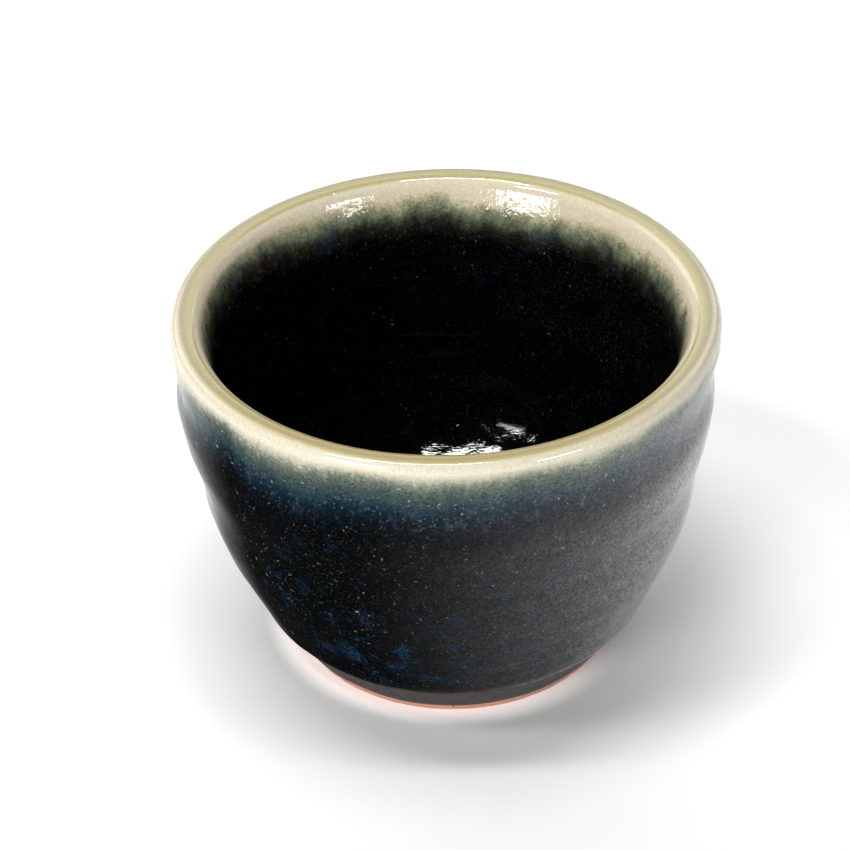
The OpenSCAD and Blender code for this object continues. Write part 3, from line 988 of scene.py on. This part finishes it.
def camera():
    """Camera at the photograph's angle."""
    e, roll = math.radians(CAMERA_ELEVATION), math.radians(CAMERA_ROLL)
    forward = Vector((0, math.cos(e), -math.sin(e)))
    level, upright = Vector((1, 0, 0)), Vector((0, math.sin(e), math.cos(e)))
    right = math.cos(roll) * level + math.sin(roll) * upright
    up = -math.sin(roll) * level + math.cos(roll) * upright
    data = bpy.data.cameras.new("camera")
    data.sensor_width, data.lens = SENSOR, FOCAL_PIXELS / FRAME_PIXELS * SENSOR
    data.clip_start, data.clip_end = CLIP_NEAR, CLIP_FAR
    eye = bpy.data.objects.new("camera", data)
    at = (Vector(CAMERA_TARGET) - CAMERA_DISTANCE * forward) * MM
    turn = Matrix((right, up, -forward)).transposed().to_4x4()
    eye.matrix_world = Matrix.Translation(at) @ turn
    bpy.context.scene.collection.objects.link(eye)
    bpy.context.scene.camera = eye


def lamp(name, way, distance, size, power, along):
    """Soft rectangular lamp that looks at the middle of the cup, level or with its long side along a way."""
    data = bpy.data.lights.new(name, "AREA")
    data.shape, data.size, data.size_y = "RECTANGLE", *size
    data.energy = power
    light = bpy.data.objects.new(name, data)
    middle = Vector((0, 0, 0.5 * CUP_H * MM))
    way = Vector(way).normalized()
    light.location = middle + way * distance
    turn = way.to_track_quat("Z", "Y").to_matrix()
    if along:
        length = Vector(along) - Vector(along).dot(way) * way
        turn = Matrix((length.normalized(), way.cross(length).normalized(), way)).transposed()
    light.rotation_euler = turn.to_euler()
    bpy.context.scene.collection.objects.link(light)


def floor():
    """Plain white table that fills the view, lit a little past white away from the cup."""
    n = Nodes("white_table")
    rays = n.add("ShaderNodeLightPath").outputs
    glossy = n.math("MAXIMUM", rays["Is Glossy Ray"], rays["Is Transmission Ray"])
    seen = n.math("MAXIMUM", rays["Is Camera Ray"], glossy)
    x, y, _ = n.split(n.millimetres((-SWAY[0][1], 0, 0)))
    radius = n.across(x, y)
    side = n.math("DIVIDE", n.sum(n.times(x, RING_WAY[0]), n.times(y, RING_WAY[1])), radius)
    ring = n.times(n.step(radius, *RING_OUT), n.step(side, *RING_SIDE))
    far = n.sum(*[n.times(n.step(radius, *reach), glow) for reach, glow in FAR_GLOW])
    glow = n.times(seen, n.sum(n.times(ring, RING_GLOW), far, TABLE_GLOW))
    n.shade({"Base Color": TABLE_WHITE, "Roughness": TABLE_ROUGH, "Specular IOR Level": 0.0})
    n.shade({"Emission Color": n.mix(ring, WHITE, RING_TINT), "Emission Strength": glow})
    size = TABLE_SIZE
    corners = [(-size, -size, 0), (size, -size, 0), (size, size, 0), (-size, size, 0)]
    mesh = bpy.data.meshes.new("table")
    mesh.from_pydata(corners, [], [(0, 1, 2, 3)])
    mesh.materials.append(n.material)
    table = bpy.data.objects.new("table", mesh)
    bpy.context.scene.collection.objects.link(table)


def room():
    """Soft light from all round, stronger from low directions."""
    world = bpy.data.worlds.new("room")
    world.use_nodes = True
    tree = world.node_tree
    split = tree.nodes.new("ShaderNodeSeparateXYZ")
    level = tree.nodes.new("ShaderNodeMapRange")
    for socket, value in ROOM.items():
        level.inputs[socket].default_value = value
    tree.links.new(tree.nodes.new("ShaderNodeTexCoord").outputs["Generated"], split.inputs[0])
    tree.links.new(split.outputs[2], level.inputs["Value"])
    tree.links.new(level.outputs["Result"], tree.nodes["Background"].inputs["Strength"])
    bpy.context.scene.world = world


def studio():
    """The room, the lamps, the camera and the table."""
    bpy.context.scene.view_settings.view_transform = "Standard"
    room()
    for name, settings in LAMPS.items():
        lamp(name, *settings)
    camera()
    floor()


dress()
studio()
